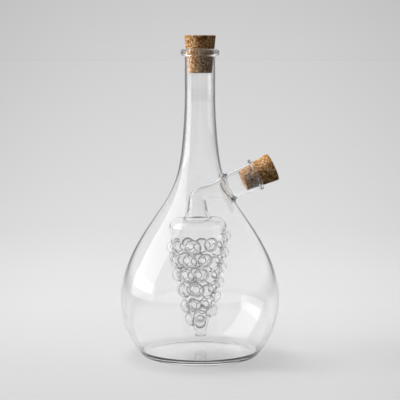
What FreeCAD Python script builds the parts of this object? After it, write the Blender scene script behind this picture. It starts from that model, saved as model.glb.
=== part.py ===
"""Two-chamber glass bottle for oil and vinegar, empty, with its two corks.

The bottle is onion shaped with a long neck. Inside it hangs a second, smaller flask blown in the
shape of a bunch of grapes. A bent tube leads from the top of that flask to a ring seal in the
shoulder, and goes on outside as a slanting spout. All the glass is fused into one piece. A tapered
cork closes the neck and another closes the spout.

Lengths are in millimetres and angles in degrees. The origin is the centre of the ring on which
the bottle stands, +Z points up the neck and the spout points towards +X.
"""
import FreeCAD, Part
import os
from math import asin, atan2, cos, degrees, pi, radians, sin, sqrt

from FreeCAD import Vector

# Outer bottle
BOTTLE_HEIGHT = 240.8
BELLY_RADIUS = 62.5
BELLY_HEIGHT = 45.0         # the widest ring, above the base
BELLY_ARC_RADIUS = 67.0     # the curve from the widest ring down to the heel
BODY_WALL = 1.5
NECK_RADIUS = 11.8
NECK_WALL = 1.2
NECK_FOOT_HEIGHT = 206.0    # above this height the neck is straight
SHOULDER_CURVE = (          # share of the rise from belly to neck, share of the swell that is left
    (0.190, 0.866),
    (0.385, 0.505),
    (0.486, 0.288),
    (0.565, 0.165),
    (0.664, 0.080),
    (0.800, 0.028),
)

# Base: a flat bearing ring round a shallow push-up
RING_RADIUS = 43.0
RING_WIDTH = 2.0
PUSH_UP = 4.0
BASE_THICKNESS = 3.0

# Lip and mouth of the neck
LIP_OVERHANG = 3.2          # how far the lip stands out from the neck
LIP_HEIGHT = 5.4
LIP_ROUND = 2.4
LIP_FILLET = 1.0
MOUTH_FLARE = 0.8           # how much wider than the bore the ground mouth is at the rim

# Spout outside the shoulder
SPOUT_HEIGHT = 132.0        # where the spout's axis leaves the shoulder
SPOUT_ANGLE = 24.5          # above the horizontal
SPOUT_LENGTH = 26.0         # from the shoulder to the rim, along the axis
SPOUT_RADIUS = 10.8
SPOUT_GATHER = 3.5          # fillet of glass where the spout joins the shoulder
SPOUT_LIP_OVERHANG = 2.2
SPOUT_LIP_HEIGHT = 2.6
SPOUT_LIP_ROUND = 1.1
SPOUT_LIP_FILLET = 0.8
SPOUT_MOUTH_FLARE = 0.4

# Grape flask, measured in its own upright place before it is leaned
FLASK_TOP = 108.3
FLASK_OFFSET = -1.9         # its top lies this far from the bottle's axis
FLASK_LEAN = 1.5            # its foot swings this many degrees towards the spout
FLASK_RADIUS = 22.6
FLASK_CORNER = 7.0
FLASK_WALL = 0.9
FLANK_FOOT = 24.0
FLANK_FOOT_RADIUS = 6.2
FLANK_BULGE = 2.2
NUB_TOP = 18.5              # the nub is what is left of the blower's gather
NUB_HEIGHT = 3.8
NUB_RADIUS = 4.8
NUB_ROUND = 1.0

# Grapes, down one helix round the flask
GRAPE_TOP = 92.3            # height of the first grape
GRAPE_PITCH = 11.6          # drop of the helix in one turn
GRAPE_TURNS = 6
GRAPE_SPACING = 12.3
GRAPE_RADIUS = 6.3          # of the highest grapes
GRAPE_FOOT_RADIUS = 5.7     # of the lowest grapes
GRAPE_STAND_OUT = 4.6
GRAPE_START_ANGLE = -8.0
GRAPE_UNEVENNESS = 0.03     # share of the radius by which neighbours differ
GRAPE_VARIATION = 2.4       # radians of the uneven pattern from one grape to the next

# Bent tube between the flask and the spout
TUBE_RADIUS = 7.7
TUBE_BEND_START_RADIUS = 6.9
TUBE_THROAT_RADIUS = 5.8    # narrowest, just past the bend
TUBE_WALL = 1.2             # of the bent tube and of the spout that it becomes
TUBE_FLARE = 3.6            # how much wider the tube is where it leaves the flask
TUBE_FLARE_HEIGHT = 8.5
TUBE_STRAIGHT = 13.0        # from the top of the flask to the bend
TUBE_BEND_RADIUS = 8.0

# Corks
NECK_CORK_TAPER = 0.104     # radius gained for each unit of length
NECK_CORK_INSERTED = 18.5
NECK_CORK_STANDS_OUT = 10.5
SPOUT_CORK_TAPER = 0.12
SPOUT_CORK_INSERTED = 12.5
SPOUT_CORK_STANDS_OUT = 13.7
CORK_CHAMFER = 0.5
CORK_CLEARANCE = 0.2

BEYOND = 5.0                # how far a cutting shape runs past the face that it cuts
TOUCH = 0.001               # two lengths that differ by less are the same
ORIGIN = Vector(0, 0, 0)
UP = Vector(0, 0, 1)
ACROSS = Vector(0, 1, 0)


def at(radius, height):
    """A point in the XZ plane."""
    return Vector(radius, 0, height)


def heading(angle):
    """The unit vector in the XZ plane at an angle above +X."""
    return at(cos(radians(angle)), sin(radians(angle)))


def line(start, end):
    """A straight edge."""
    return Part.LineSegment(start, end).toShape()


def polyline(*points):
    """Straight edges through points."""
    return [line(a, b) for a, b in zip(points, points[1:])]


def bend(centre, radius, start_angle, end_angle):
    """An arc about centre in the XZ plane, from one heading to another."""
    angles = (start_angle, (start_angle + end_angle) / 2, end_angle)
    return Part.Arc(*(centre + heading(a) * radius for a in angles)).toShape()


def smooth(points, start_direction, end_direction):
    """A smooth curve through points, with a given direction at each end."""
    curve = Part.BSplineCurve()
    curve.interpolate(Points=points, InitialTangent=start_direction, FinalTangent=end_direction)
    return curve.toShape()


def turned(edges):
    """The solid that a closed outline sweeps about the Z axis, with its seam towards +Y."""
    outline = Part.Wire(Part.__sortEdges__(edges))
    solid = Part.Face(outline).revolve(ORIGIN, UP, 360)
    solid.rotate(ORIGIN, UP, 90)
    return solid


# ---------------------------------------------------------------- outer bottle


def shoulder(belly_radius, neck_radius):
    """The curve from the widest ring up to the straight neck."""
    rise = NECK_FOOT_HEIGHT - BELLY_HEIGHT
    swell = belly_radius - neck_radius
    points = [at(belly_radius, BELLY_HEIGHT)]
    for height_share, swell_share in SHOULDER_CURVE:
        points.append(at(neck_radius + swell * swell_share, BELLY_HEIGHT + rise * height_share))
    points.append(at(neck_radius, NECK_FOOT_HEIGHT))
    return smooth(points, UP * rise, UP * rise)


def shoulder_radius(height):
    """Outer radius of the shoulder at a height."""
    level = line(at(0, height), at(BELLY_RADIUS + BEYOND, height))
    return shoulder(BELLY_RADIUS, NECK_RADIUS).distToShape(level)[1][0][0].x


def belly(wall, floor, ring_radius):
    """The belly below its widest ring and the heel that rolls onto a floor level.

    The belly is drawn in by wall, and the heel ends level on the floor at ring_radius.
    """
    centre = at(BELLY_RADIUS - BELLY_ARC_RADIUS, BELLY_HEIGHT)
    radius = BELLY_ARC_RADIUS - wall
    reach = ring_radius - centre.x
    drop = BELLY_HEIGHT - floor
    heel_radius = (radius**2 - reach**2 - drop**2) / (2 * (radius - drop))
    heel_centre = at(ring_radius, floor + heel_radius)
    meeting_angle = degrees(atan2(heel_centre.z - centre.z, heel_centre.x - centre.x))
    return [
        bend(centre, radius, 0, meeting_angle),
        bend(heel_centre, heel_radius, meeting_angle, -90),
    ]


def dome(rim, crown):
    """An arc from a rim point up to a crown on the axis, where it is level."""
    rise = crown.z - rim.z
    radius = (rim.x**2 + rise**2) / (2 * rise)
    half_span = degrees(asin(rim.x / radius))
    return bend(crown - UP * radius, radius, 90 - half_span, 90)


def lip(tube_radius, overhang, top, height, edge_round, fillet):
    """Outside of a lip, from the tube up: fillet, underside, rounded edge and top to the axis."""
    underside = top - height
    lip_radius = tube_radius + overhang
    flat_radius = lip_radius - edge_round
    return [
        bend(at(tube_radius + fillet, underside - fillet), fillet, 180, 90),
        line(at(tube_radius + fillet, underside), at(flat_radius, underside)),
        bend(at(flat_radius, underside + edge_round), edge_round, -90, 0),
        line(at(lip_radius, underside + edge_round), at(lip_radius, top - edge_round)),
        bend(at(flat_radius, top - edge_round), edge_round, 0, 90),
        line(at(flat_radius, top), at(0, top)),
    ]


def bore(radius, flare, taper, start, rim):
    """Outline of a bore from start up to its rim, whose mouth is ground to a cork's taper."""
    ground_depth = flare / taper
    above = rim + BEYOND
    return polyline(
        at(radius, start),
        at(radius, rim - ground_depth),
        at(radius + flare + taper * BEYOND, above),
        at(0, above),
    )


def bottle_volume():
    """All that lies inside the bottle's outer surface."""
    ring_inside = at(RING_RADIUS - RING_WIDTH, 0)
    crown = at(0, PUSH_UP)
    edges = belly(0, 0, RING_RADIUS)
    edges.append(line(at(RING_RADIUS, 0), ring_inside))
    edges.append(dome(ring_inside, crown))
    edges.append(shoulder(BELLY_RADIUS, NECK_RADIUS))
    lip_foot = BOTTLE_HEIGHT - LIP_HEIGHT - LIP_FILLET
    edges.append(line(at(NECK_RADIUS, NECK_FOOT_HEIGHT), at(NECK_RADIUS, lip_foot)))
    edges += lip(NECK_RADIUS, LIP_OVERHANG, BOTTLE_HEIGHT, LIP_HEIGHT, LIP_ROUND, LIP_FILLET)
    edges.append(line(at(0, BOTTLE_HEIGHT), crown))
    return turned(edges)


def bottle_cavity():
    """The space inside the bottle's wall, up through its ground mouth."""
    bore_radius = NECK_RADIUS - NECK_WALL
    floor_radius = RING_RADIUS - RING_WIDTH
    crown = at(0, BASE_THICKNESS + PUSH_UP)
    edges = belly(BODY_WALL, BASE_THICKNESS, floor_radius)
    edges.append(dome(at(floor_radius, BASE_THICKNESS), crown))
    edges.append(shoulder(BELLY_RADIUS - BODY_WALL, bore_radius))
    edges += bore(bore_radius, MOUTH_FLARE, NECK_CORK_TAPER, NECK_FOOT_HEIGHT, BOTTLE_HEIGHT)
    edges.append(line(at(0, BOTTLE_HEIGHT + BEYOND), crown))
    return turned(edges)


# ---------------------------------------------------------------- spout


def spout_root():
    """The point where the spout's axis leaves the shoulder."""
    return at(shoulder_radius(SPOUT_HEIGHT), SPOUT_HEIGHT)


def on_spout(shape):
    """Lays a shape made about the Z axis onto the spout, with its height 0 at the shoulder."""
    shape.rotate(ORIGIN, ACROSS, 90 - SPOUT_ANGLE)
    shape.translate(spout_root())
    return shape


def spout_volume():
    """All that lies inside the spout's outer surface, begun well inside the shoulder's wall."""
    root_radius = spout_root().x
    sagitta = root_radius - sqrt(root_radius**2 - SPOUT_RADIUS**2)
    start = -sagitta - BODY_WALL
    lip_foot = SPOUT_LENGTH - SPOUT_LIP_HEIGHT - SPOUT_LIP_FILLET
    edges = polyline(
        at(0, SPOUT_LENGTH), at(0, start), at(SPOUT_RADIUS, start), at(SPOUT_RADIUS, lip_foot)
    )
    edges += lip(
        SPOUT_RADIUS,
        SPOUT_LIP_OVERHANG,
        SPOUT_LENGTH,
        SPOUT_LIP_HEIGHT,
        SPOUT_LIP_ROUND,
        SPOUT_LIP_FILLET,
    )
    return on_spout(turned(edges))


def spout_bore():
    """The passage in the spout, from the shoulder out through its ground mouth."""
    radius = SPOUT_RADIUS - TUBE_WALL
    edges = bore(radius, SPOUT_MOUTH_FLARE, SPOUT_CORK_TAPER, 0, SPOUT_LENGTH)
    edges += polyline(at(0, SPOUT_LENGTH + BEYOND), ORIGIN, at(radius, 0))
    return on_spout(turned(edges))


def distance_from_spout_axis(place):
    """How far a point lies from the spout's axis."""
    return place.distanceToLine(spout_root(), heading(SPOUT_ANGLE))


def with_gathered_glass(volume):
    """Fillets the edge where the spout meets the shoulder."""
    root = spout_root()
    edges = []
    for edge in volume.Edges:
        middle = edge.valueAt((edge.FirstParameter + edge.LastParameter) / 2)
        on_tube = abs(distance_from_spout_axis(middle) - SPOUT_RADIUS) < TOUCH
        if on_tube and (middle - root).Length < SPOUT_RADIUS + SPOUT_GATHER:
            edges.append(edge)
    return volume.makeFillet(SPOUT_GATHER, edges)


# ---------------------------------------------------------------- grape flask


def flank_radius(height):
    """Radius of the flask between its grapes at a height."""
    flank_top = FLASK_TOP - FLASK_CORNER
    share = (flank_top - height) / (flank_top - FLANK_FOOT)
    straight = FLASK_RADIUS + (FLANK_FOOT_RADIUS - FLASK_RADIUS) * share
    return straight + 4 * FLANK_BULGE * share * (1 - share)


def flask_core(wall, tube_wall):
    """The flask without its grapes, with the straight part of its tube.

    The flask is drawn in by wall and the tube by tube_wall.
    """
    corner = at(FLASK_RADIUS - FLASK_CORNER, FLASK_TOP - FLASK_CORNER)
    corner_radius = FLASK_CORNER - wall
    steps = 4
    heights = [corner.z + (FLANK_FOOT - corner.z) * i / steps for i in range(steps + 1)]
    flank = [at(flank_radius(height) - wall, height) for height in heights]
    nub_side = NUB_RADIUS - wall
    nub_floor = NUB_TOP - NUB_HEIGHT + wall
    flare_foot = at(TUBE_RADIUS + TUBE_FLARE - tube_wall, FLASK_TOP - wall)
    flare_end = at(TUBE_RADIUS - tube_wall, FLASK_TOP + TUBE_FLARE_HEIGHT)
    bend_start = at(TUBE_BEND_START_RADIUS - tube_wall, FLASK_TOP + TUBE_STRAIGHT)
    edges = [
        line(at(0, bend_start.z), bend_start),
        line(bend_start, flare_end),
        smooth([flare_end, flare_foot], UP * -TUBE_FLARE_HEIGHT, at(TUBE_FLARE, -TUBE_FLARE)),
        line(flare_foot, at(corner.x, FLASK_TOP - wall)),
        bend(corner, corner_radius, 90, 0),
        smooth(flank, UP * -1, flank[-1] - flank[-2]),
    ]
    edges += polyline(
        flank[-1], at(nub_side, NUB_TOP + wall), at(nub_side, nub_floor + NUB_ROUND)
    )
    edges.append(bend(at(nub_side - NUB_ROUND, nub_floor + NUB_ROUND), NUB_ROUND, 0, -90))
    edges += polyline(at(nub_side - NUB_ROUND, nub_floor), at(0, nub_floor), at(0, bend_start.z))
    return turned(edges)


def grapes():
    """Centre, outward direction and radius of each grape, down one helix round the flask."""
    found = []
    for turn in range(GRAPE_TURNS):
        first_height = GRAPE_TOP - GRAPE_PITCH * turn
        ring = flank_radius(first_height - GRAPE_PITCH / 2) + GRAPE_STAND_OUT - GRAPE_RADIUS
        count = round(2 * pi * ring / GRAPE_SPACING)
        for step in range(count):
            height = first_height - GRAPE_PITCH * step / count
            depth = (GRAPE_TOP - height) / (GRAPE_PITCH * GRAPE_TURNS)
            radius = GRAPE_RADIUS + (GRAPE_FOOT_RADIUS - GRAPE_RADIUS) * depth
            radius *= 1 + GRAPE_UNEVENNESS * sin(GRAPE_VARIATION * len(found))
            angle = radians(GRAPE_START_ANGLE - 360 * step / count)
            outward = Vector(cos(angle), sin(angle), 0)
            distance = flank_radius(height) + GRAPE_STAND_OUT - radius
            found.append((outward * distance + UP * height, outward, radius))
    return found


def grape_bunch(wall, tube_wall):
    """The flask with all its grapes and the straight part of its tube, hung in its place."""
    balls = [Part.makeSphere(radius - wall, centre, outward) for centre, outward, radius in grapes()]
    bunch = flask_core(wall, tube_wall).fuse(balls)
    bunch.rotate(at(0, FLASK_TOP), ACROSS, -FLASK_LEAN)
    bunch.translate(at(FLASK_OFFSET, 0))
    return bunch


# ---------------------------------------------------------------- bent tube


def tube_sections():
    """Centre, heading and outer radius of the tube's sections, from the bend to the spout."""
    rise_angle = 90 + FLASK_LEAN
    bend_start = at(FLASK_OFFSET, FLASK_TOP) + heading(rise_angle) * TUBE_STRAIGHT
    centre = bend_start + heading(rise_angle - 90) * TUBE_BEND_RADIUS
    seal = spout_root()
    to_seal = seal - centre
    turn_in = degrees(asin(TUBE_BEND_RADIUS / to_seal.Length))
    run_angle = degrees(atan2(to_seal.z, to_seal.x)) - turn_in
    sections = []
    bend_steps = 4
    for step in range(bend_steps + 1):
        share = step / bend_steps
        angle = rise_angle + (run_angle - rise_angle) * share
        radius = TUBE_BEND_START_RADIUS + (TUBE_THROAT_RADIUS - TUBE_BEND_START_RADIUS) * share
        sections.append((centre + heading(angle + 90) * TUBE_BEND_RADIUS, angle, radius))
    bend_end = sections[-1][0]
    run_steps = 4
    for step in range(1, run_steps + 1):
        share = step / run_steps
        angle = run_angle + (SPOUT_ANGLE - run_angle) * share
        radius = TUBE_THROAT_RADIUS + (SPOUT_RADIUS - TUBE_THROAT_RADIUS) * share**2
        sections.append((bend_end + (seal - bend_end) * share, angle, radius))
    return sections


def bent_tube(wall):
    """The bent tube's volume, drawn in by wall."""
    rings = []
    for centre, angle, radius in tube_sections():
        ring = Part.Wire(Part.Circle(ORIGIN, UP, radius - wall).toShape())
        ring.rotate(ORIGIN, ACROSS, 90 - angle)
        ring.translate(centre)
        rings.append(ring)
    return Part.makeLoft(rings, True, False)


def seal_plug():
    """The spout's glass where it passes through the shoulder at the ring seal."""
    return on_spout(Part.makeCylinder(SPOUT_RADIUS, BEYOND))


# ---------------------------------------------------------------- pieces


def glass_bottle():
    """All the glass as one solid: bottle, ring seal, spout, bent tube and grape flask."""
    outside = with_gathered_glass(bottle_volume().fuse(spout_volume()))
    large_chamber = bottle_cavity().cut(grape_bunch(0, 0).fuse([bent_tube(0), seal_plug()]))
    small_chamber = grape_bunch(FLASK_WALL, TUBE_WALL).fuse([bent_tube(TUBE_WALL), spout_bore()])
    return outside.cut(large_chamber).cut(small_chamber)


def cork(bore_radius, flare, taper, inserted, stands_out, rim):
    """A tapered cork about the Z axis, seated in a ground mouth whose rim is at a height."""
    rim_radius = bore_radius + flare - CORK_CLEARANCE
    foot_radius = rim_radius - taper * inserted
    top_radius = rim_radius + taper * stands_out
    body = Part.makeCone(foot_radius, top_radius, inserted + stands_out, at(0, rim - inserted))
    ends = [edge for edge in body.Edges if edge.isClosed()]
    return body.makeChamfer(CORK_CHAMFER, ends)


def neck_cork():
    """The cork in the neck."""
    return cork(
        NECK_RADIUS - NECK_WALL,
        MOUTH_FLARE,
        NECK_CORK_TAPER,
        NECK_CORK_INSERTED,
        NECK_CORK_STANDS_OUT,
        BOTTLE_HEIGHT,
    )


def spout_cork():
    """The cork in the spout."""
    return on_spout(
        cork(
            SPOUT_RADIUS - TUBE_WALL,
            SPOUT_MOUTH_FLARE,
            SPOUT_CORK_TAPER,
            SPOUT_CORK_INSERTED,
            SPOUT_CORK_STANDS_OUT,
            SPOUT_LENGTH,
        )
    )


def main():
    """Builds each piece and writes it to its own STEP file."""
    os.makedirs("parts", exist_ok=True)
    for piece in (glass_bottle, neck_cork, spout_cork):
        shape = piece()
        solid = shape.Solids[0]
        solid.exportStep(f"parts/{piece.__name__}.step")
        print(piece.__name__, len(shape.Solids), solid.isValid(), f"{solid.Volume:.0f} mm3")


main()
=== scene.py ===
"""Two-chamber oil and vinegar bottle of clear glass, with its two corks, on a pale studio floor.

The glass is modelled as one closed piece: a turned body with a real wall, a flask blown in the
shape of a bunch of grapes, and the bent tube that leads from the flask through the shoulder and
out as the slanting spout. Lengths are in metres, +Z points up the neck and the spout points
towards +X.
"""
import logging
import math
from collections.abc import Callable, Sequence
from dataclasses import dataclass, field
from enum import Enum

import bpy
import numpy as np
from mathutils import Matrix, Vector


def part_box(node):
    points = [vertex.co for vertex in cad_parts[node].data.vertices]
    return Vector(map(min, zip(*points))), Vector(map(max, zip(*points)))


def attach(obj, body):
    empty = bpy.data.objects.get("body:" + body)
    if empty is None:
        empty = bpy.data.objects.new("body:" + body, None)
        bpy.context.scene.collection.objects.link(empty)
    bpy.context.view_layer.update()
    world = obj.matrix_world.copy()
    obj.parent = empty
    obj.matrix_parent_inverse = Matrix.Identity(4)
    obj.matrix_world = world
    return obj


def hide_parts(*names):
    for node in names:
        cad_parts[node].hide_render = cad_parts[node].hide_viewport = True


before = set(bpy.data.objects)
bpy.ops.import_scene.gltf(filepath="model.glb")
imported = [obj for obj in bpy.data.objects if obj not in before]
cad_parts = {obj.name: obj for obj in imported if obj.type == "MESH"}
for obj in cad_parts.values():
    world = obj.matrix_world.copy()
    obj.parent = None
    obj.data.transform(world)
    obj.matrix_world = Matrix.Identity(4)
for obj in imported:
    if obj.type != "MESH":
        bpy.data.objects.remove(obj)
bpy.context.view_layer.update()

MM = 0.001
ROOT = "root"
log = logging.getLogger("bottle")


# ---------------------------------------------------------------- outlines


def at(radius: float, height: float) -> Vector:
    """Returns a point in the XZ plane."""
    return Vector((radius, 0.0, height))


def heading(angle: float) -> Vector:
    """Returns the unit vector in the XZ plane at an angle in degrees above +X."""
    return at(math.cos(math.radians(angle)), math.sin(math.radians(angle)))


def arc(centre: Vector, radius: float, start: float, end: float, steps: int) -> list[Vector]:
    """Points on an arc in the XZ plane.

    Args:
        centre: Centre of the arc.
        radius: Radius of the arc.
        start: Heading of the first point from the centre, in degrees.
        end: Heading of the last point from the centre, in degrees.
        steps: Number of spans between points.

    Returns:
        The points from start to end, both included.
    """
    return [centre + heading(start + (end - start) * i / steps) * radius for i in range(steps + 1)]


def clamped_spline(places: Sequence[float], values: Sequence[float]) -> Callable[[float], float]:
    """A smooth curve through values at places that is level at both ends.

    Args:
        places: Rising places.
        values: The value at each place.

    Returns:
        A function from a place to the value there.
    """
    x, y = np.array(places), np.array(values)
    gaps, slopes = np.diff(x), np.diff(y) / np.diff(x)
    count = len(x)
    system, right = np.eye(count), np.zeros(count)
    for i in range(1, count - 1):
        system[i, i - 1 : i + 2] = gaps[i], 2 * (gaps[i - 1] + gaps[i]), gaps[i - 1]
        right[i] = 3 * (gaps[i] * slopes[i - 1] + gaps[i - 1] * slopes[i])
    lean = np.linalg.solve(system, right)

    def value(place: float) -> float:
        """Returns the curve's value at a place.

        Args:
            place: A place on the curve.

        Returns:
            The curve's value there.
        """
        i = int(np.clip(np.searchsorted(x, place) - 1, 0, count - 2))
        t = (place - x[i]) / gaps[i]
        start, end = y[i], y[i + 1]
        leaving, arriving = lean[i] * gaps[i], lean[i + 1] * gaps[i]
        return float(
            start * (1 + 2 * t) * (1 - t) ** 2
            + leaving * t * (1 - t) ** 2
            + end * t * t * (3 - 2 * t)
            - arriving * t * t * (1 - t)
        )

    return value


# ---------------------------------------------------------------- modelling


class Combine(Enum):
    """How one closed piece is combined with another."""

    JOIN = "UNION"
    CUT = "DIFFERENCE"


class Bench:
    """Modelling steps that every piece shares."""

    merge_distance = 0.001 * MM

    @staticmethod
    def pick(piece: bpy.types.Object) -> None:
        """Selects this piece alone and makes it active."""
        bpy.ops.object.select_all(action="DESELECT")
        piece.select_set(True)
        bpy.context.view_layer.objects.active = piece

    @classmethod
    def lathe(cls, name: str, outline: Sequence[Vector], steps: int) -> bpy.types.Object:
        """Turns an outline about the Z axis into a closed piece.

        Args:
            name: Name of the new piece.
            outline: Points in the XZ plane, from the axis round to the axis.
            steps: Number of spans round the axis.

        Returns:
            The new piece.
        """
        bpy.ops.object.select_all(action="DESELECT")
        bpy.ops.mesh.primitive_plane_add(size=MM, location=(0, 0, 0))
        piece = bpy.context.active_object
        piece.name = name
        bpy.ops.object.mode_set(mode="EDIT")
        bpy.ops.mesh.merge(type="CENTER")
        bpy.ops.transform.translate(value=outline[0])
        for start, end in zip(outline, outline[1:]):
            bpy.ops.mesh.extrude_vertices_move(TRANSFORM_OT_translate={"value": end - start})
        bpy.ops.mesh.select_all(action="SELECT")
        bpy.ops.mesh.spin(steps=steps, angle=2 * math.pi, center=(0, 0, 0), axis=(0, 0, 1))
        bpy.ops.mesh.select_all(action="SELECT")
        bpy.ops.mesh.remove_doubles(threshold=cls.merge_distance)
        bpy.ops.mesh.normals_make_consistent(inside=False)
        bpy.ops.object.mode_set(mode="OBJECT")
        return piece

    @classmethod
    def modify(cls, piece: bpy.types.Object, kind: str, **settings: object) -> None:
        """Adds a modifier to a piece, with settings, and applies it.

        Args:
            piece: The piece.
            kind: The modifier's type.
            settings: Its settings, by name.
        """
        cls.pick(piece)
        modifier = piece.modifiers.new(kind.title(), kind)
        for name, value in settings.items():
            setattr(modifier, name, value)
        bpy.ops.object.modifier_apply(modifier=modifier.name)

    @classmethod
    def combine(cls, piece: bpy.types.Object, other: bpy.types.Object, how: Combine) -> None:
        """Joins another closed piece to a piece, or cuts it away, and deletes the other."""
        cls.modify(piece, "BOOLEAN", object=other, operation=how.value, solver="MANIFOLD")
        bpy.data.objects.remove(other, do_unlink=True)

    @classmethod
    def copy(cls, piece: bpy.types.Object, name: str) -> bpy.types.Object:
        """Returns a copy of a piece that has its own mesh.

        Args:
            piece: The piece.
            name: Name of the copy.

        Returns:
            The copy.
        """
        cls.pick(piece)
        bpy.ops.object.duplicate(linked=False)
        bpy.context.active_object.name = name
        return bpy.context.active_object

    @classmethod
    def settle(cls, piece: bpy.types.Object) -> None:
        """Leaves a piece at the origin, unturned and unscaled, with its place in its mesh."""
        cls.pick(piece)
        bpy.ops.object.transform_apply(location=True, rotation=True, scale=True)

    @classmethod
    def shade(cls, piece: bpy.types.Object, crease: float) -> None:
        """Shades a piece smooth, apart from edges sharper than crease in degrees."""
        cls.pick(piece)
        bpy.ops.object.shade_smooth_by_angle(angle=math.radians(crease))

    @staticmethod
    def reshape(piece: bpy.types.Object, place: Callable[[Vector], Vector]) -> None:
        """Moves each vertex of a piece to where place puts it.

        Args:
            piece: The piece.
            place: Gives the new place of a vertex from its old one.
        """
        for vertex in piece.data.vertices:
            vertex.co = place(vertex.co.copy())
        piece.data.update()


# ---------------------------------------------------------------- shader maths


class Socket:
    """A shader output that takes part in Python expressions."""

    def __init__(self, bench: "Shader", output: bpy.types.NodeSocket) -> None:
        """Wraps an output of a node in bench's tree."""
        self.bench = bench
        self.output = output

    def _math(self, operation: str, *values: "Socket | float") -> "Socket":
        """Returns the result of a Math node."""
        return self.bench.node("ShaderNodeMath", {"operation": operation}, dict(enumerate(values)))

    def __add__(self, other: "Socket | float") -> "Socket":
        """Returns self + other."""
        return self._math("ADD", self, other)

    def __sub__(self, other: "Socket | float") -> "Socket":
        """Returns self - other."""
        return self._math("SUBTRACT", self, other)

    def __mul__(self, other: "Socket | float") -> "Socket":
        """Returns self * other."""
        return self._math("MULTIPLY", self, other)

    def __truediv__(self, other: "Socket | float") -> "Socket":
        """Returns self / other."""
        return self._math("DIVIDE", self, other)

    def __pow__(self, other: float) -> "Socket":
        """Returns self ** other."""
        return self._math("POWER", self, other)

    def __radd__(self, other: float) -> "Socket":
        """Returns other + self."""
        return self._math("ADD", other, self)

    def __rsub__(self, other: float) -> "Socket":
        """Returns other - self."""
        return self._math("SUBTRACT", other, self)

    def __rmul__(self, other: float) -> "Socket":
        """Returns other * self."""
        return self._math("MULTIPLY", other, self)

    def __rtruediv__(self, other: float) -> "Socket":
        """Returns other / self."""
        return self._math("DIVIDE", other, self)

    def at_least(self, low: float) -> "Socket":
        """Returns self, or low where self is below it."""
        return self._math("MAXIMUM", self, low)

    def clamp(self) -> "Socket":
        """Returns self kept between 0 and 1."""
        return self.bench.node("ShaderNodeClamp", {}, {"Value": self})

    def above(self, low: float, high: float) -> "Socket":
        """Returns 0 below low, 1 above high and a soft step between.

        Args:
            low: Where the step starts.
            high: Where it ends.

        Returns:
            The step.
        """
        settings = {"interpolation_type": "SMOOTHSTEP"}
        values = {"Value": self, "From Min": low, "From Max": high}
        return self.bench.node("ShaderNodeMapRange", settings, values)


Colour = tuple[float, float, float]


def grey(value: float) -> Colour:
    """Returns a neutral colour."""
    return (value, value, value)


BLACK = grey(0.0)


class Shader:
    """Builds the nodes of one material or of the world."""

    def __init__(self, owner: bpy.types.Material | bpy.types.World) -> None:
        """Empties the node tree of owner."""
        owner.use_nodes = True
        self.tree = owner.node_tree
        self.tree.nodes.clear()

    def node(
        self,
        kind: str,
        settings: dict[str, object],
        values: dict[int | str, object],
        output: int | str = 0,
    ) -> Socket | None:
        """Adds a node.

        Args:
            kind: The node's type.
            settings: Its own settings, set first. "stops" are a ramp's places and colours.
            values: A value, a colour or a link for each socket, by name or number.
            output: Which output to return.

        Returns:
            The chosen output, or None from a node that has none.
        """
        node = self.tree.nodes.new(kind)
        for name, value in settings.items():
            if name == "stops":
                self._set_stops(node.color_ramp, value)
            else:
                setattr(node, name, value)
        for name, value in values.items():
            socket = node.inputs[name]
            if isinstance(value, Socket):
                self.tree.links.new(value.output, socket)
            elif isinstance(value, tuple) and len(value) == 3 and socket.type == "RGBA":
                socket.default_value = (*value, 1.0)
            else:
                socket.default_value = value
        return Socket(self, node.outputs[output]) if node.outputs else None

    @staticmethod
    def _set_stops(ramp: bpy.types.ColorRamp, stops: Sequence[tuple[float, Colour]]) -> None:
        """Sets a ramp's stops.

        Args:
            ramp: The ramp.
            stops: The place and colour of each stop.
        """
        while len(ramp.elements) < len(stops):
            ramp.elements.new(1.0)
        for element, (place, colour) in zip(ramp.elements, stops):
            element.position = place
            element.color = (*colour, 1.0)

    def mix(self, share: Socket | float, first: Socket | Colour, second: Socket | Colour) -> Socket:
        """Returns a blend of two colours."""
        values = {0: share, 6: first, 7: second}
        return self.node("ShaderNodeMix", {"data_type": "RGBA"}, values, 2)

    def blend(self, share: Socket, first: Socket, second: Socket) -> Socket:
        """Returns a blend of two shaders."""
        return self.node("ShaderNodeMixShader", {}, {0: share, 1: first, 2: second})

    def ramp(self, share: Socket, stops: Sequence[tuple[float, Colour]]) -> Socket:
        """Returns a colour from a ramp."""
        return self.node("ShaderNodeValToRGB", {"stops": stops}, {"Fac": share})

    def finish(self, surface: Socket, world: bool = False) -> None:
        """Links a shader to the output."""
        kind = "ShaderNodeOutputWorld" if world else "ShaderNodeOutputMaterial"
        self.node(kind, {}, {"Surface": surface})

    def place(self) -> Socket:
        """Returns the place on the piece, in metres."""
        return self.node("ShaderNodeTexCoord", {}, {}, "Object")

    def split(self, vector: Socket, axis: str) -> Socket:
        """Returns one part of a vector."""
        return self.node("ShaderNodeSeparateXYZ", {}, {0: vector}, axis)

    def ray(self, kind: str) -> Socket:
        """Returns a fact about the ray, such as its depth or whether it is of a kind."""
        return self.node("ShaderNodeLightPath", {}, {}, kind)


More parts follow.
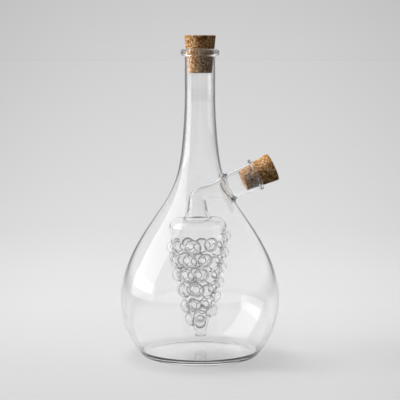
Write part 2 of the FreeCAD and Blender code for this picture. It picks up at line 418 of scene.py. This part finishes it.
@dataclass(frozen=True)
class GlassFinish:
    """Clear glass with painted shade where it is edge on, where it also casts more shadow."""

    name: str = "clear_glass"
    ior: float = 1.5
    clear: Colour = (0.995, 0.997, 0.996)
    # The colour of the painted shade where the glass is seen edge on.
    edge: Colour = (0.89, 0.90, 0.90)
    edge_shade_power: float = 6.0
    shadow: Colour = grey(0.98)
    shadow_edge: Colour = grey(0.74)
    shadow_power: float = 2.5

    def make(self) -> bpy.types.Material:
        """Returns the material.

        Returns:
            The glass, through which shadow rays pass straight.
        """
        material = bpy.data.materials.new(self.name)
        bench = Shader(material)
        facing = bench.node("ShaderNodeLayerWeight", {}, {"Blend": 0.5}, "Facing")
        # Painted shade: the base colour darkens towards edge where the glass is seen edge on.
        painted_edge_shade = bench.mix(facing**self.edge_shade_power, self.clear, self.edge)
        values = {
            "Base Color": painted_edge_shade,
            "Roughness": 0.0,
            "IOR": self.ior,
            "Transmission Weight": 1.0,
        }
        glass = bench.node("ShaderNodeBsdfPrincipled", {}, values)
        flat_on = bench.node("ShaderNodeBsdfTransparent", {}, {"Color": self.shadow})
        edge_on = bench.node("ShaderNodeBsdfTransparent", {}, {"Color": self.shadow_edge})
        veil = bench.blend(facing**self.shadow_power, flat_on, edge_on)
        bench.finish(bench.blend(bench.ray("Is Shadow Ray"), glass, veil))
        return material


@dataclass(frozen=True)
class CorkFinish:
    """Agglomerated cork: pressed granules of many browns, with dark seams and specks."""

    name: str = "granular_cork"
    granules: float = 900.0
    specks: float = 2600.0
    browns: tuple[tuple[float, Colour], ...] = (
        (0.0, (0.15, 0.050, 0.010)),
        (0.22, (0.36, 0.150, 0.036)),
        (0.5, (0.56, 0.280, 0.090)),
        (0.8, (0.74, 0.48, 0.24)),
        (1.0, (0.92, 0.73, 0.49)),
    )
    seam: Colour = (0.10, 0.035, 0.010)
    seam_width: float = 0.09
    seam_share: float = 0.7
    speck_range: tuple[float, float] = (0.62, 0.72)
    speck_share: float = 0.75
    relief: float = 0.5
    relief_depth: float = 0.25 * MM
    roughness: float = 0.85
    specular: float = 0.15

    def make(self) -> bpy.types.Material:
        """Returns the material.

        Returns:
            The cork, its granules laid out on Object coordinates.
        """
        material = bpy.data.materials.new(self.name)
        bench = Shader(material)
        place = bench.place()
        cells = {"Vector": place, "Scale": self.granules}
        grain = bench.node("ShaderNodeTexVoronoi", {}, cells, "Color")
        shade = bench.split(grain, "X")
        edge = bench.node(
            "ShaderNodeTexVoronoi", {"feature": "DISTANCE_TO_EDGE"}, cells, "Distance"
        )
        colour = bench.ramp(shade, self.browns)
        seams = 1 - edge.above(0.0, self.seam_width)
        colour = bench.mix(seams * self.seam_share, colour, self.seam)
        speck = bench.node("ShaderNodeTexNoise", {}, {"Vector": place, "Scale": self.specks})
        dark = speck.above(*self.speck_range) * self.speck_share
        colour = bench.mix(dark, colour, self.seam)
        grains = {"Strength": self.relief, "Distance": self.relief_depth, "Height": edge + speck}
        values = {
            "Base Color": colour,
            "Roughness": self.roughness,
            "Specular IOR Level": self.specular,
            "Normal": bench.node("ShaderNodeBump", {}, grains),
        }
        bench.finish(bench.node("ShaderNodeBsdfPrincipled", {}, values))
        return material


# ---------------------------------------------------------------- glass


@dataclass
class Body:
    """The onion-shaped body with its neck, lip and pushed-up base."""

    height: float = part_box("glass_bottle")[1][2]
    belly_radius: float = -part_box("glass_bottle")[0][0]
    belly_height: float = 45.0 * MM
    belly_arc: float = 67.0 * MM
    wall: float = 1.5 * MM
    neck_radius: float = 11.8 * MM
    neck_wall: float = 1.2 * MM
    neck_foot: float = 206.0 * MM
    ring_radius: float = 43.0 * MM
    ring_width: float = 2.0 * MM
    push_up: float = 4.0 * MM
    base_thickness: float = 3.0 * MM
    lip_radius: float = 15.0 * MM
    lip_height: float = 5.4 * MM
    lip_round: float = 2.4 * MM
    lip_fillet: float = 1.0 * MM
    mouth_flare: float = 0.8 * MM
    mouth_depth: float = 7.7 * MM
    mouth_round: float = 0.6 * MM
    steps: int = 144
    shoulder_steps: int = 64
    belly_steps: int = 24
    heel_steps: int = 14
    dome_steps: int = 16
    lip_steps: int = 8
    fillet_steps: int = 5
    curve: tuple[tuple[float, float], ...] = (
        (0.0, 1.0),
        (0.190, 0.866),
        (0.385, 0.505),
        (0.486, 0.288),
        (0.565, 0.165),
        (0.664, 0.080),
        (0.800, 0.028),
        (1.0, 0.0),
    )

    def shoulder_radius(self, height: float, wall: float = 0.0, neck_wall: float = 0.0) -> float:
        """Returns the radius of the shoulder at a height, drawn in by a wall.

        Args:
            height: Height above the floor.
            wall: How far the belly is drawn in.
            neck_wall: How far the neck is drawn in.

        Returns:
            The radius.
        """
        swell = clamped_spline(*zip(*self.curve))
        share = (height - self.belly_height) / (self.neck_foot - self.belly_height)
        neck = self.neck_radius - neck_wall
        return neck + (self.belly_radius - wall - neck) * swell(share)

    def shoulder(self, wall: float, neck_wall: float) -> list[Vector]:
        """Returns the outline from the widest ring up to the straight neck.

        Args:
            wall: How far the belly is drawn in.
            neck_wall: How far the neck is drawn in.

        Returns:
            The points, upwards.
        """
        rise = (self.neck_foot - self.belly_height) / self.shoulder_steps
        heights = [self.belly_height + rise * i for i in range(self.shoulder_steps + 1)]
        return [at(self.shoulder_radius(height, wall, neck_wall), height) for height in heights]

    def belly(self, wall: float, floor: float, ring_radius: float) -> list[Vector]:
        """Returns the outline from the floor out through the heel to the widest ring.

        Args:
            wall: How far the belly is drawn in.
            floor: Height where the heel becomes level.
            ring_radius: Radius where the heel becomes level.

        Returns:
            The points, from the heel upwards.
        """
        centre = at(self.belly_radius - self.belly_arc, self.belly_height)
        radius = self.belly_arc - wall
        reach, drop = ring_radius - centre.x, self.belly_height - floor
        heel = (radius**2 - reach**2 - drop**2) / (2 * (radius - drop))
        heel_centre = at(ring_radius, floor + heel)
        meeting = math.degrees(math.atan2(heel_centre.z - centre.z, heel_centre.x - centre.x))
        outline = arc(heel_centre, heel, -90, meeting, self.heel_steps)
        return outline + arc(centre, radius, meeting, 0, self.belly_steps)[1:]

    def dome(self, rim: Vector, crown: Vector) -> list[Vector]:
        """Returns an arc from a crown on the axis down to a rim.

        Args:
            rim: Point on the rim.
            crown: Top of the dome, on the axis.

        Returns:
            The points, from crown to rim.
        """
        rise = crown.z - rim.z
        radius = (rim.x**2 + rise**2) / (2 * rise)
        half_span = math.degrees(math.asin(rim.x / radius))
        return arc(crown - at(0, radius), radius, 90, 90 - half_span, self.dome_steps)

    def lip(self) -> list[Vector]:
        """Returns the outline of the lip, from the neck up and over into the mouth.

        Returns:
            The points, from outside to inside.
        """
        fillet, edge, inner = self.lip_fillet, self.lip_round, self.mouth_round
        underside, top = self.height - self.lip_height, self.height
        flat = self.lip_radius - edge
        mouth = self.neck_radius - self.neck_wall + self.mouth_flare
        neck_side = at(self.neck_radius + fillet, underside - fillet)
        return (
            arc(neck_side, fillet, 180, 90, self.fillet_steps)
            + arc(at(flat, underside + edge), edge, -90, 0, self.lip_steps)
            + arc(at(flat, top - edge), edge, 0, 90, self.lip_steps)
            + arc(at(mouth + inner, top - inner), inner, 90, 180, self.fillet_steps)
        )

    def make(self) -> bpy.types.Object:
        """Returns the body as one closed wall of glass.

        Returns:
            The body, open at its mouth and hollow.
        """
        ring_inside = self.ring_radius - self.ring_width
        crown, floor_crown = at(0, self.push_up), at(0, self.base_thickness + self.push_up)
        bore = self.neck_radius - self.neck_wall
        outside = self.dome(at(ring_inside, 0), crown)
        outside += self.belly(0, 0, self.ring_radius) + self.shoulder(0, 0)[1:]
        inside = self.dome(at(ring_inside, self.base_thickness), floor_crown)
        inside += self.belly(self.wall, self.base_thickness, ring_inside)[1:]
        inside += self.shoulder(self.wall, self.neck_wall)[1:]
        inside.append(at(bore, self.height - self.mouth_depth))
        return Bench.lathe("bottle_glass", outside + self.lip() + inside[::-1], self.steps)


@dataclass
class GrapeFlask:
    """The inner flask, blown as a bunch of grapes."""

    top: float = 108.3 * MM
    offset: float = -1.9 * MM
    lean: float = 1.5
    radius: float = 22.6 * MM
    corner: float = 7.0 * MM
    wall: float = 0.9 * MM
    foot: float = 24.0 * MM
    foot_radius: float = 6.2 * MM
    bulge: float = 2.2 * MM
    nub_top: float = 18.5 * MM
    nub_height: float = 3.8 * MM
    nub_radius: float = 4.8 * MM
    nub_round: float = 1.0 * MM
    grape_top: float = 92.3 * MM
    pitch: float = 11.6 * MM
    turns: int = 6
    spacing: float = 12.3 * MM
    grape_radius: float = 6.3 * MM
    grape_foot_radius: float = 5.7 * MM
    stand_out: float = 4.6 * MM
    crowding: float = 1.6
    unevenness: float = 0.05
    variation: float = 2.4
    wander: float = 0.8 * MM
    sideways_rate: float = 1.7
    upward_rate: float = 2.3
    grape_wall: float = 1.4 * MM
    grape_shift: float = 0.5 * MM
    grape_divisions: int = 4
    steps: int = 72
    flank_steps: int = 24
    corner_steps: int = 8
    nub_steps: int = 4

    def flank(self, height: float) -> float:
        """Returns the radius of the flask between its grapes at a height.

        Args:
            height: Height before the flask is leaned.

        Returns:
            The radius.
        """
        flank_top = self.top - self.corner
        share = (flank_top - height) / (flank_top - self.foot)
        straight = self.radius + (self.foot_radius - self.radius) * share
        return straight + 4 * self.bulge * share * (1 - share)

    def core(self, wall: float) -> bpy.types.Object:
        """Returns the flask without its grapes, drawn in by wall.

        Args:
            wall: How far it is drawn in.

        Returns:
            The core, upright on the axis.
        """
        corner = at(self.radius - self.corner, self.top - self.corner)
        nub_floor, nub_side = self.nub_top - self.nub_height + wall, self.nub_radius - wall
        drop = (self.foot - corner.z) / self.flank_steps
        heights = [corner.z + drop * i for i in range(1, self.flank_steps + 1)]
        outline = [at(0, self.top - wall)]
        outline += arc(corner, self.corner - wall, 90, 0, self.corner_steps)
        outline += [at(self.flank(height) - wall, height) for height in heights]
        outline.append(at(nub_side, self.nub_top + wall))
        nub_corner = at(nub_side - self.nub_round, nub_floor + self.nub_round)
        outline += arc(nub_corner, self.nub_round, 0, -90, self.nub_steps) + [at(0, nub_floor)]
        return Bench.lathe("flask_core", outline, self.steps)

    def grapes(self) -> list[tuple[Vector, Vector, float]]:
        """Returns the centre, outward direction and radius of each grape, down one helix.

        Returns:
            The three of each grape, from the top down.
        """
        found = []
        for turn in range(self.turns):
            first = self.grape_top - self.pitch * turn
            ring = self.flank(first - self.pitch / 2) + self.stand_out - self.grape_radius
            count = round(2 * math.pi * ring / self.spacing + self.crowding * turn / self.turns)
            for step in range(count):
                height = first - self.pitch * step / count
                depth = (self.grape_top - height) / (self.pitch * self.turns)
                radius = self.grape_radius + (self.grape_foot_radius - self.grape_radius) * depth
                phase = self.variation * len(found)
                radius *= 1 + self.unevenness * math.sin(phase)
                angle = math.radians(-360 * step / count)
                angle += self.wander / ring * math.sin(self.sideways_rate * phase)
                height += self.wander * math.sin(self.upward_rate * phase + 1)
                outward = Vector((math.cos(angle), math.sin(angle), 0))
                distance = self.flank(height) + self.stand_out - radius
                found.append((outward * distance + at(0, height), outward, radius))
        return found

    def make(self, wall: float = 0.0, grape_wall: float = 0.0) -> bpy.types.Object:
        """Makes the flask as one closed form, leaned into its place.

        Args:
            wall: How far the flask is drawn in between its grapes.
            grape_wall: How far each grape is drawn in.

        Returns:
            The flask's outer form, or the space inside it where walls are given.
        """
        bpy.ops.object.select_all(action="DESELECT")
        bpy.ops.mesh.primitive_ico_sphere_add(subdivisions=self.grape_divisions, radius=1.0)
        ball = bpy.context.active_object
        bunch = self.core(wall)
        for centre, outward, radius in self.grapes():
            grape = Bench.copy(ball, "grape")
            grape.location = centre + outward * (self.grape_shift if grape_wall else 0.0)
            grape.scale = Vector((1, 1, 1)) * (radius - grape_wall)
            Bench.combine(bunch, grape, Combine.JOIN)
        bpy.data.objects.remove(ball, do_unlink=True)
        turn = Matrix.Rotation(math.radians(-self.lean), 4, "Y")
        pivot = at(0, self.top)
        shift = at(self.offset, 0)
        Bench.reshape(bunch, lambda place: turn @ (place - pivot) + pivot + shift)
        return bunch

    def space(self) -> bpy.types.Object:
        """Returns the space inside the flask."""
        return self.make(self.wall, self.grape_wall)


@dataclass
class SpoutTube:
    """The tube that rises from the flask, bends, and passes through the shoulder as the spout."""

    body: Body
    flask: GrapeFlask
    radius: float = 7.7 * MM
    bend_start_radius: float = 6.9 * MM
    throat_radius: float = 5.8 * MM
    wall: float = 1.2 * MM
    flare: float = 3.6 * MM
    flare_height: float = 8.5 * MM
    straight: float = 13.0 * MM
    bend: float = 8.0 * MM
    spout_height: float = 132.0 * MM
    spout_angle: float = 24.5
    spout_length: float = 26.0 * MM
    spout_radius: float = 10.8 * MM
    gather: float = 3.5 * MM
    lip_radius: float = 13.0 * MM
    lip_height: float = 2.6 * MM
    lip_round: float = 1.1 * MM
    lip_fillet: float = 0.8 * MM
    mouth_flare: float = 0.4 * MM
    mouth_depth: float = 3.3 * MM
    beyond: float = 3.0 * MM
    flare_power: float = 2.2
    gather_share: float = 0.8
    row: float = 1.0 * MM
    steps: int = 72
    lip_steps: int = 7
    fillet_steps: int = 5
    root: Vector = field(init=False)
    run_angle: float = field(init=False)
    bend_centre: Vector = field(init=False)

    def __post_init__(self) -> None:
        """Works out the tube's route."""
        self.root = at(self.body.shoulder_radius(self.spout_height), self.spout_height)
        rise = 90 + self.flask.lean
        start = at(self.flask.offset, self.flask.top) + heading(rise) * self.straight
        self.bend_centre = start + heading(rise - 90) * self.bend
        to_root = self.root - self.bend_centre
        turn_in = math.degrees(math.asin(self.bend / to_root.length))
        self.run_angle = math.degrees(math.atan2(to_root.z, to_root.x)) - turn_in

    def lengths(self) -> tuple[float, float, float]:
        """Returns how far along the route the bend starts, the bend ends and the spout starts.

        Returns:
            The three distances from the flask's top.
        """
        bend = self.bend * math.radians(90 + self.flask.lean - self.run_angle)
        end = self.bend_centre + heading(self.run_angle + 90) * self.bend
        return self.straight, self.straight + bend, self.straight + bend + (self.root - end).length

    def route(self, along: float) -> tuple[Vector, float]:
        """Returns the centre and the heading of the tube at a distance along its route.

        Args:
            along: Distance from the flask's top.

        Returns:
            The centre, and the heading in degrees above +X.
        """
        rise = 90 + self.flask.lean
        bend_start, bend_end, spout_start = self.lengths()
        if along <= bend_start:
            return at(self.flask.offset, self.flask.top) + heading(rise) * along, rise
        if along <= bend_end:
            angle = rise - math.degrees((along - bend_start) / self.bend)
            return self.bend_centre + heading(angle + 90) * self.bend, angle
        if along <= spout_start:
            share = (along - bend_end) / (spout_start - bend_end)
            start = self.bend_centre + heading(self.run_angle + 90) * self.bend
            angle = self.run_angle + (self.spout_angle - self.run_angle) * share**2
            return start + (self.root - start) * share, angle
        return self.root + heading(self.spout_angle) * (along - spout_start), self.spout_angle

    def outer_radius(self, along: float) -> float:
        """Returns the tube's outer radius at a distance along its route.

        Args:
            along: Distance from the flask's top.

        Returns:
            The radius.
        """
        bend_start, bend_end, spout_start = self.lengths()
        if along < self.flare_height:
            share = 1 - along / self.flare_height
            return self.radius + self.flare * share**self.flare_power
        if along < bend_start:
            share = (along - self.flare_height) / (bend_start - self.flare_height)
            return self.radius + (self.bend_start_radius - self.radius) * share
        if along < bend_end:
            share = (along - bend_start) / (bend_end - bend_start)
            return self.bend_start_radius + (self.throat_radius - self.bend_start_radius) * share
        share = min((along - bend_end) / (spout_start - bend_end), 1.0)
        return self.throat_radius + (self.spout_radius - self.throat_radius) * share**2

    def laid(self, name: str, outline: Sequence[Vector]) -> bpy.types.Object:
        """Turns an outline and bends it along the tube's route.

        Args:
            name: Name of the piece.
            outline: The straight tube's outline, its height being the distance along the route.

        Returns:
            The bent piece.
        """
        piece = Bench.lathe(name, outline, self.steps)

        def place(point: Vector) -> Vector:
            """Returns where a point of the straight piece lies on the route."""
            centre, angle = self.route(point.z)
            sideways = heading(angle - 90)
            return centre + sideways * point.x + Vector((0, point.y, 0))

        Bench.reshape(piece, place)
        return piece

    def gathered(self, point: Vector) -> Vector:
        """Returns where a point near the shoulder goes to make the fillet at the spout's root.

        Args:
            point: A point on the tube.

        Returns:
            The point, moved away from the spout's axis if it is near the shoulder.
        """
        axis = heading(self.spout_angle)
        along = (point - self.root).dot(axis)
        foot = self.root + axis * along
        outward = point - foot
        clear = math.hypot(point.x, point.y) - self.body.shoulder_radius(point.z)
        off_spout = outward.length < self.spout_radius - self.wall / 2
        if off_spout or not -self.body.wall < clear < self.gather:
            return point
        share = 1 - clear / self.gather if clear > 0 else 1 + clear / self.body.wall
        swelling = self.gather * self.gather_share * share**2
        return foot + outward.normalized() * (outward.length + swelling)

    def side(self, start: float, end: float, wall: float) -> list[Vector]:
        """Returns the outline of the tube's side, drawn in by wall, in rows of about equal height.

        Args:
            start: Distance along the route of the first row.
            end: Distance along the route of the last row.
            wall: How far the side is drawn in.

        Returns:
            The points, along the route.
        """
        count = round((end - start) / self.row)
        places = [start + (end - start) * i / count for i in range(count + 1)]
        return [at(self.outer_radius(max(place, 0.0)) - wall, place) for place in places]

    def volume(self) -> bpy.types.Object:
        """Returns all that lies inside the tube's outer surface, out to the spout's lip.

        Returns:
            The closed, filled tube.
        """
        rim = self.lengths()[2] + self.spout_length
        underside = rim - self.lip_height
        start = -self.flask.wall / 2
        fillet, edge = self.lip_fillet, self.lip_round
        flat = self.lip_radius - edge
        outline = [at(0, start)] + self.side(start, underside - fillet, 0.0)[:-1]
        fillet_centre = at(self.spout_radius + fillet, underside - fillet)
        outline += arc(fillet_centre, fillet, 180, 90, self.fillet_steps)
        outline += arc(at(flat, underside + edge), edge, -90, 0, self.lip_steps)
        outline += arc(at(flat, rim - edge), edge, 0, 90, self.lip_steps)
        outline.append(at(0, rim))
        tube = self.laid("tube_glass", outline)
        Bench.reshape(tube, self.gathered)
        return tube

    def bore(self) -> bpy.types.Object:
        """Returns the space inside the tube, from within the flask out through the mouth.

        Returns:
            The closed space, a little longer than the tube.
        """
        rim = self.lengths()[2] + self.spout_length
        start = -2 * self.flask.wall
        outline = [at(0, start)] + self.side(start, rim - self.mouth_depth, self.wall)
        mouth = self.spout_radius - self.wall + self.mouth_flare
        outline += [at(mouth, rim), at(mouth, rim + self.beyond), at(0, rim + self.beyond)]
        return self.laid("tube_space", outline)


@dataclass
class Glassware:
    """All the glass, as one closed piece."""

    tube: SpoutTube
    finish: GlassFinish = GlassFinish()
    crease: float = 38.0

    def make(self) -> bpy.types.Object:
        """Returns the glass in place of its CAD node.

        Returns:
            The glass.
        """
        tube, flask = self.tube, self.tube.flask
        glass = self.tube.body.make()
        bunch = flask.make()
        space = flask.space()
        Bench.combine(bunch, tube.volume(), Combine.JOIN)
        Bench.combine(space, tube.bore(), Combine.JOIN)
        Bench.combine(glass, bunch, Combine.JOIN)
        Bench.combine(glass, space, Combine.CUT)
        Bench.settle(glass)
        Bench.shade(glass, self.crease)
        glass.data.materials.clear()
        glass.data.materials.append(self.finish.make())
        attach(glass, ROOT)
        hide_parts("glass_bottle")
        return glass


# ---------------------------------------------------------------- corks


@dataclass
class Cork:
    """A tapered cork along an axis."""

    name: str
    node: str
    foot: Vector
    angle: float
    foot_radius: float
    taper: float
    length: float
    chamfer: float = 0.5 * MM
    steps: int = 96
    rows: int = 40
    rings: int = 12
    crease: float = 40.0

    def make(self, finish: bpy.types.Material) -> bpy.types.Object:
        """Returns the cork in place of its CAD node.

        Args:
            finish: The cork's material.

        Returns:
            The cork.
        """
        edge, rings = self.chamfer, self.rings
        foot_flat = self.foot_radius - edge
        head_flat = foot_flat + self.taper * self.length
        outline = [at(foot_flat * i / rings, 0) for i in range(rings + 1)]
        for i in range(self.rows + 1):
            height = edge + (self.length - 2 * edge) * i / self.rows
            outline.append(at(self.foot_radius + self.taper * height, height))
        outline += [at(head_flat * i / rings, self.length) for i in range(rings, -1, -1)]
        cork = Bench.lathe(self.name, outline, self.steps)
        turn = Matrix.Rotation(math.radians(90 - self.angle), 4, "Y")
        Bench.reshape(cork, lambda place: turn @ place + self.foot)
        Bench.shade(cork, self.crease)
        cork.data.materials.clear()
        cork.data.materials.append(finish)
        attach(cork, ROOT)
        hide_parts(self.node)
        return cork


@dataclass
class Corks:
    """The two corks, each standing in its mouth."""

    tube: SpoutTube
    clearance: float = 0.2 * MM
    neck_taper: float = 0.104
    neck_in: float = 18.5 * MM
    neck_out: float = 10.5 * MM
    spout_taper: float = 0.12
    spout_in: float = 12.5 * MM
    spout_out: float = 13.7 * MM

    def neck(self) -> Cork:
        """Returns the cork of the neck.

        Returns:
            The cork, not yet made.
        """
        body = self.tube.body
        mouth = body.neck_radius - body.neck_wall + body.mouth_flare - self.clearance
        return Cork(
            name="neck_stopper",
            node="neck_cork",
            foot=at(0, body.height - self.neck_in),
            angle=90,
            foot_radius=mouth - self.neck_taper * self.neck_in,
            taper=self.neck_taper,
            length=self.neck_in + self.neck_out,
        )

    def spout(self) -> Cork:
        """Returns the cork of the spout.

        Returns:
            The cork, not yet made.
        """
        tube = self.tube
        mouth = tube.spout_radius - tube.wall + tube.mouth_flare - self.clearance
        return Cork(
            name="spout_stopper",
            node="spout_cork",
            foot=tube.root + heading(tube.spout_angle) * (tube.spout_length - self.spout_in),
            angle=tube.spout_angle,
            foot_radius=mouth - self.spout_taper * self.spout_in,
            taper=self.spout_taper,
            length=self.spout_in + self.spout_out,
        )

    def make(self) -> list[bpy.types.Object]:
        """Returns both corks, in one material."""
        finish = CorkFinish().make()
        return [self.neck().make(finish), self.spout().make(finish)]


# ---------------------------------------------------------------- studio


@dataclass(frozen=True)
class Beam:
    """A broad, distant light that draws the shadows and shades the corks.

    The bearing counts from the bottle's left round towards its back. Angles are in degrees and
    the power is in watts for each square metre.
    """

    name: str
    bearing: float
    rise: float
    softness: float
    power: float

    def make(self, azimuth: float) -> None:
        """Adds the light for a camera at an azimuth in degrees."""
        data = bpy.data.lights.new(self.name, "SUN")
        data.energy = self.power
        data.angle = math.radians(self.softness)
        lamp = bpy.data.objects.new(self.name, data)
        bpy.context.scene.collection.objects.link(lamp)
        turn, rise = math.radians(azimuth - self.bearing), math.radians(self.rise)
        level = Vector((-math.cos(turn), -math.sin(turn), 0)) * math.cos(rise)
        source = level + at(0, math.sin(rise))
        lamp.rotation_euler = source.to_track_quat("Z", "Y").to_euler()
        lamp.visible_glossy = False
        lamp.visible_transmission = False


@dataclass(frozen=True)
class Softbox:
    """A softbox at the left whose reflection runs down the glass.

    The aim is the height on the bottle's axis that it faces, and the power is in watts.
    """

    name: str
    height: float
    tall: float
    aim: float
    power: float
    place: tuple[float, float] = (-0.93, 0.18)
    width: float = 0.86

    def make(self) -> None:
        """Adds the light."""
        data = bpy.data.lights.new(self.name, "AREA")
        data.shape = "RECTANGLE"
        data.size, data.size_y = self.width, self.tall
        data.energy = self.power
        lamp = bpy.data.objects.new(self.name, data)
        bpy.context.scene.collection.objects.link(lamp)
        lamp.location = (*self.place, self.height)
        facing = at(0, self.aim) - lamp.location
        lamp.rotation_euler = facing.to_track_quat("-Z", "Y").to_euler()
        lamp.visible_camera = False
        lamp.visible_diffuse = False


@dataclass
class Studio:
    """The floor, the surroundings, the lamps and the camera."""

    floor_radius: float = 30.0
    floor_sides: int = 96
    camera_distance: float = 1.1
    camera_height: float = 0.24
    camera_azimuth: float = -8.0
    camera_dip: float = 6.08
    lens: float = 126.8
    sensor: float = 36.0
    floor_near: float = 0.95
    nearest: float = 0.8
    # Painted light: the floor's colour by nearness, brightest just behind the bottle.
    painted_floor_light: tuple[tuple[float, Colour], ...] = (
        (0.03, grey(0.630)),
        (0.25, grey(0.670)),
        (0.50, grey(0.715)),
        (0.62, grey(0.770)),
        (0.72, grey(0.785)),
        (0.82, grey(0.750)),
        (0.90, grey(0.705)),
        (1.0, grey(0.680)),
    )
    # Painted shade: side_falloff darkens the floor towards its sides, and the backdrop too.
    side_falloff: float = 5.2
    side_limit: float = 0.2
    mirrored_side_limit: float = 0.7
    left_lift: float = 0.8
    right_lift: float = 0.4
    floor_bounce: Colour = grey(0.10)
    backdrop_low: Colour = grey(0.641)
    backdrop_high: Colour = grey(0.36)
    backdrop_rise: float = 0.25
    backdrop_limit: float = 1 / 6
    room_dark: Colour = grey(0.24)
    room_light: Colour = grey(0.90)
    band_top: tuple[float, float] = (0.0, 0.16)
    band_front: tuple[float, float] = (-0.45, -0.05)
    table_reach: tuple[float, float] = (0.8, 2.2)
    table_front: tuple[float, float] = (-0.6, -0.2)
    fill_left: Colour = grey(0.45)
    fill_right: Colour = grey(0.02)
    beams: tuple[Beam, ...] = (
        Beam("side_key", bearing=0, rise=12, softness=30, power=4.2),
        Beam("top_key", bearing=55, rise=75, softness=28, power=1.68),
    )
    softboxes: tuple[Softbox, ...] = (
        Softbox("tall_softbox", height=0.66, tall=1.15, aim=0.12, power=4.85),
        Softbox("low_softbox", height=0.16, tall=0.29, aim=0.16, power=1.0),
    )

    def frontal(self, bench: Shader, place: Socket) -> tuple[Socket, Socket]:
        """Returns how far a place or direction lies behind the bottle and to its right.

        Args:
            bench: The tree to build in.
            place: The place or direction.

        Returns:
            How far behind, and how far to the right.
        """
        turn = math.radians(self.camera_azimuth)
        x, y = bench.split(place, "X"), bench.split(place, "Y")
        behind = y * math.cos(turn) - x * math.sin(turn)
        right = x * math.cos(turn) + y * math.sin(turn)
        return behind, right

    def floor(self) -> bpy.types.Object:
        """Returns the pale floor, with painted light just behind the bottle and painted shade
        aside.

        Returns:
            The floor, which is not part of the bottle.
        """
        bpy.ops.object.select_all(action="DESELECT")
        bpy.ops.mesh.primitive_circle_add(
            vertices=self.floor_sides, radius=self.floor_radius, fill_type="NGON"
        )
        floor = bpy.context.active_object
        floor.name = "floor"
        material = bpy.data.materials.new("studio_floor")
        bench = Shader(material)
        place = bench.place()
        behind, right = self.frontal(bench, place)
        depth = (behind + self.camera_distance).at_least(self.nearest)
        near = self.floor_near / depth
        # Painted light: a pool of light painted on the floor just behind the bottle.
        painted_light_tone = bench.ramp(near, self.painted_floor_light)
        # Painted shade: the floor is painted darker towards its sides, less so nearer the camera.
        aside = right / depth
        lift = (0 - aside).clamp() * self.left_lift + aside.clamp() * self.right_lift
        falloff = aside**2 * self.side_falloff - lift * near
        mirrored = bench.ray("Glossy Depth").clamp()
        limit = mirrored * (self.mirrored_side_limit - self.side_limit) + self.side_limit
        colour = bench.mix((falloff / limit).clamp() * limit, painted_light_tone, BLACK)
        far = bench.node("ShaderNodeVectorMath", {"operation": "LENGTH"}, {0: place}, "Value")
        dark = mirrored * far.above(*self.table_reach) * behind.above(*self.table_front)
        colour = bench.mix(dark, colour, self.room_dark)
        colour = bench.mix(bench.ray("Diffuse Depth").clamp(), colour, self.floor_bounce)
        values = {"Base Color": colour, "Roughness": 1.0, "Specular IOR Level": 0.0}
        bench.finish(bench.node("ShaderNodeBsdfPrincipled", {}, values))
        floor.data.materials.append(material)
        return floor

    def surroundings(self) -> None:
        """Makes a pale backdrop that glass shows too, and a darker band for its reflections."""
        world = bpy.data.worlds.new("studio")
        bpy.context.scene.world = world
        bench = Shader(world)
        sky = bench.node("ShaderNodeTexCoord", {}, {}, "Generated")
        up, across = bench.split(sky, "Z"), bench.split(sky, "X")
        behind, right = self.frontal(bench, sky)
        height = (up / self.backdrop_rise).clamp()
        backdrop = bench.mix(height, self.backdrop_low, self.backdrop_high)
        falloff = right**2 * self.side_falloff / self.backdrop_limit
        backdrop = bench.mix(falloff.clamp() * self.backdrop_limit, backdrop, BLACK)
        dark = (1 - up.above(*self.band_top)) * behind.above(*self.band_front)
        room = bench.mix(dark, self.room_light, self.room_dark)
        colour = bench.mix(bench.ray("Glossy Depth").clamp(), backdrop, room)
        fill = bench.mix(across * 0.5 + 0.5, self.fill_left, self.fill_right)
        colour = bench.mix(bench.ray("Diffuse Depth").clamp(), colour, fill)
        light = bench.node("ShaderNodeBackground", {}, {"Color": colour, "Strength": 1.0})
        bench.finish(light, world=True)

    def camera(self) -> None:
        """Places the camera."""
        turn = math.radians(self.camera_azimuth)
        data = bpy.data.cameras.new("camera")
        data.lens = self.lens
        data.sensor_width = self.sensor
        camera = bpy.data.objects.new("camera", data)
        bpy.context.scene.collection.objects.link(camera)
        level = Vector((math.sin(turn), -math.cos(turn), 0)) * self.camera_distance
        camera.location = level + at(0, self.camera_height)
        camera.rotation_euler = (math.radians(90 - self.camera_dip), 0, turn)
        bpy.context.scene.camera = camera

    def make(self) -> None:
        """Sets the whole studio up."""
        self.floor()
        self.surroundings()
        for beam in self.beams:
            beam.make(self.camera_azimuth)
        for softbox in self.softboxes:
            softbox.make()
        self.camera()
        bpy.context.scene.view_settings.view_transform = "Standard"


def main() -> None:
    """Builds every piece in order."""
    logging.basicConfig(level=logging.INFO, format="%(name)s: %(message)s")
    tube = SpoutTube(Body(), GrapeFlask())
    for piece in [Glassware(tube).make(), *Corks(tube).make()]:
        log.info("%s: %d faces", piece.name, len(piece.data.polygons))
    Studio().make()


if __name__ == "__main__":
    main()
